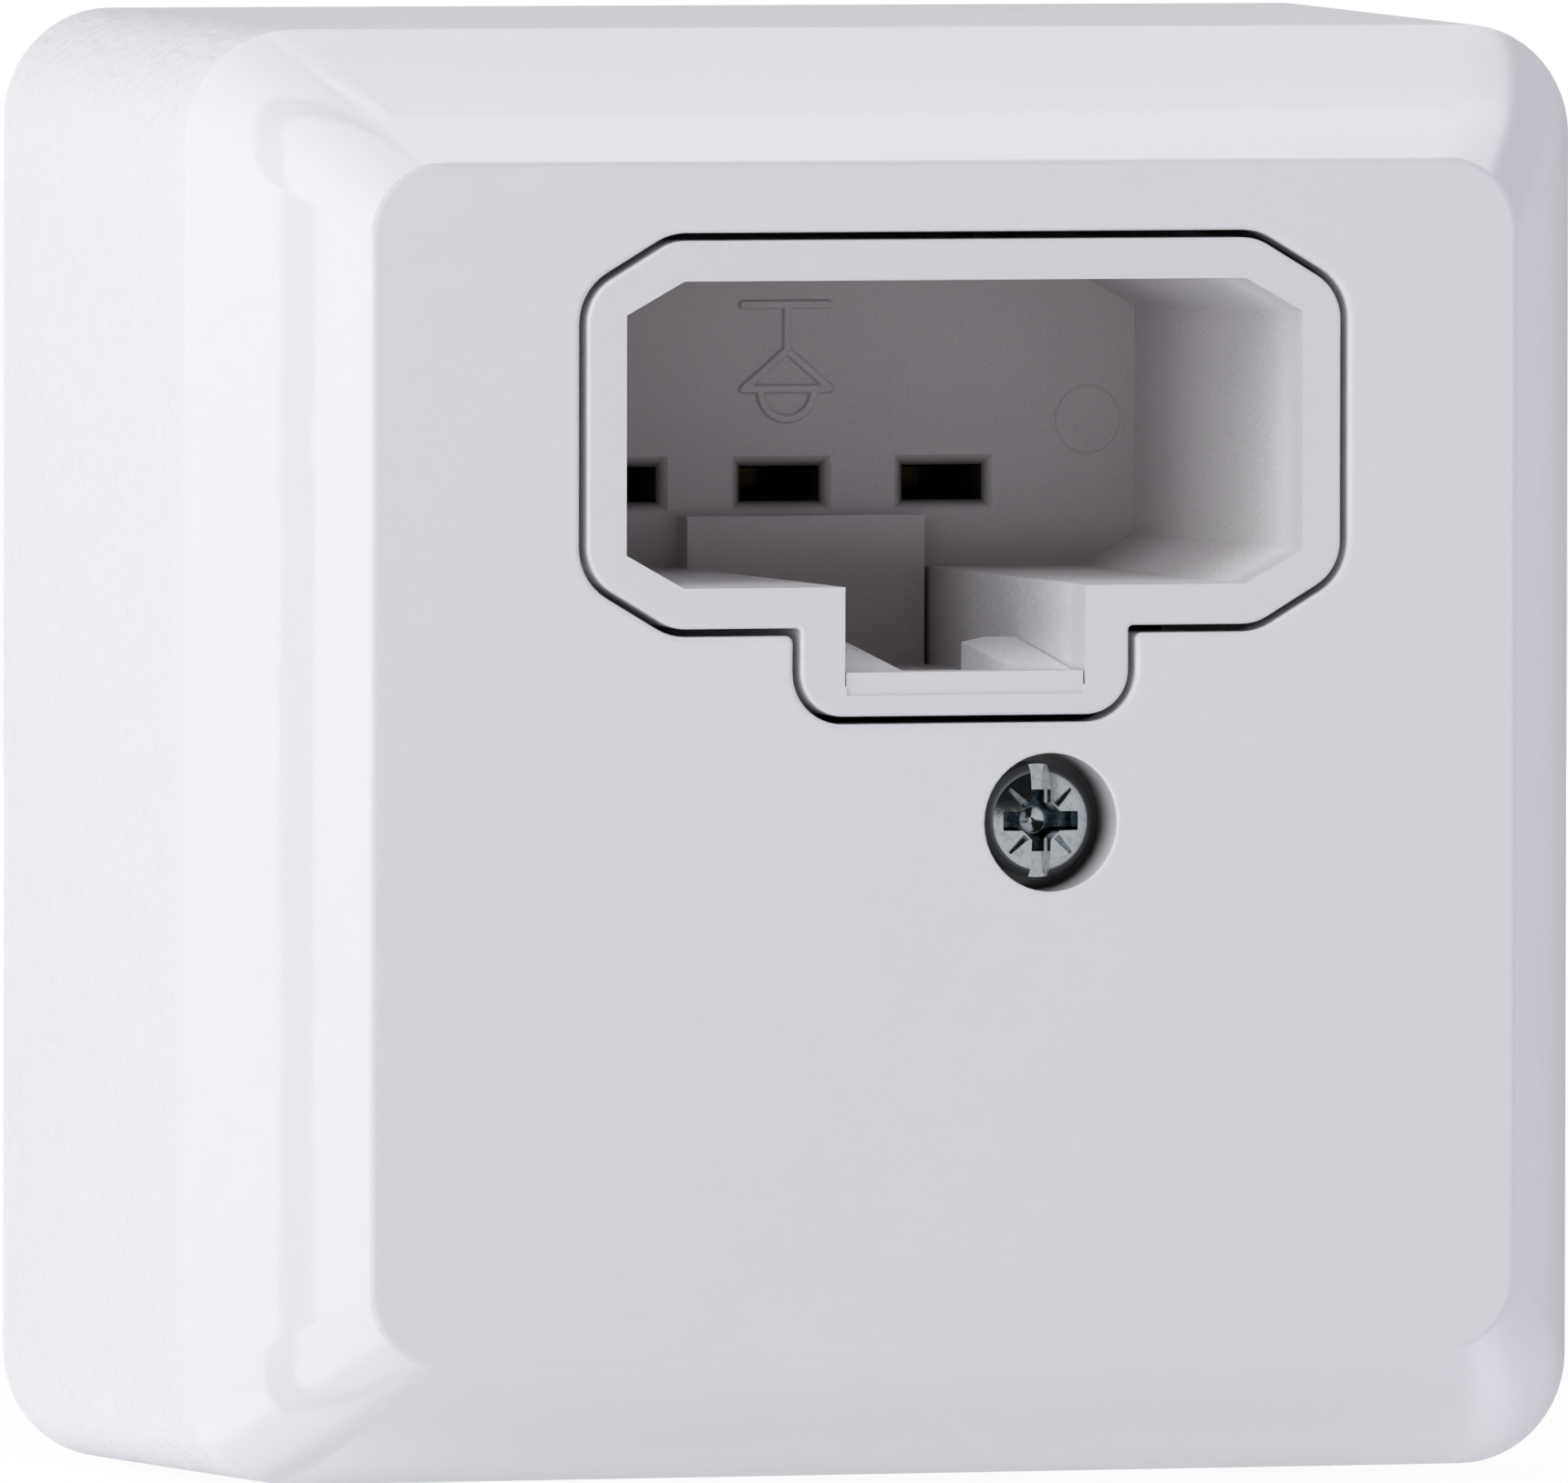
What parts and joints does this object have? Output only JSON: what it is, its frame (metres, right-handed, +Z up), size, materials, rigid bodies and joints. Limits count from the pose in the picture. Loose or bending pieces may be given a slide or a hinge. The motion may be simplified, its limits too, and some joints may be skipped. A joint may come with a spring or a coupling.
{
  "type": "lamp outlet",
  "caption": "Square surface-mounted wall lamp outlet: bevelled white cover, T-shaped luminaire socket with three blade slots, one cover screw.",
  "frame": {"origin": "centre of the back face, which lies against the wall", "axes": "+X to the right seen from the front, +Z up, +Y into the wall; the front faces -Y"},
  "size_m": [0.0862, 0.0494, 0.0862],
  "materials": {
    "shell_white": "glossy front, fine grain on the sides",
    "socket_white": "satin moulding",
    "base_white": "satin moulding",
    "block_dark": "matt moulding",
    "button_grey": "matt moulding",
    "clear_nylon": "natural nylon",
    "zinc_steel": "bright zinc plate",
    "spring_steel": "rolled strip",
    "brass": "bright strip",
    "grommet_rubber": "soft rubber"
  },
  "bodies": {
    "housing": {"cover": "shell_white", "cover_screw": "zinc_steel", "screw_retainer": "clear_nylon", "screw_bush": "brass", "socket_housing": "socket_white", "latch_bar": "socket_white", "terminal_block": "block_dark", "insulator": "block_dark", "contact_line": "brass", "contact_earth": "brass", "contact_neutral": "brass", "clamp_spring_line": "spring_steel", "clamp_spring_earth": "spring_steel", "clamp_spring_neutral": "spring_steel", "base_plate": "base_white", "cable_grommet": "grommet_rubber", "block_screw_left": "zinc_steel", "block_screw_right": "zinc_steel"},
    "button_line": {"release_button_line": "button_grey"},
    "button_earth": {"release_button_earth": "button_grey"},
    "button_neutral": {"release_button_neutral": "button_grey"}
  },
  "joints": [
    {"name": "release_line", "type": "slide", "parent": "housing", "child": "button_line", "axis": [0, 1, 0], "range_m": [0, 0.0015], "stiffness_N_per_m": 600, "springref_m": -0.0005, "deforming": ["clamp_spring_line"]},
    {"name": "release_earth", "type": "slide", "parent": "housing", "child": "button_earth", "axis": [0, 1, 0], "range_m": [0, 0.0015], "stiffness_N_per_m": 600, "springref_m": -0.0005, "deforming": ["clamp_spring_earth"]},
    {"name": "release_neutral", "type": "slide", "parent": "housing", "child": "button_neutral", "axis": [0, 1, 0], "range_m": [0, 0.0015], "stiffness_N_per_m": 600, "springref_m": -0.0005, "deforming": ["clamp_spring_neutral"]}
  ]
}
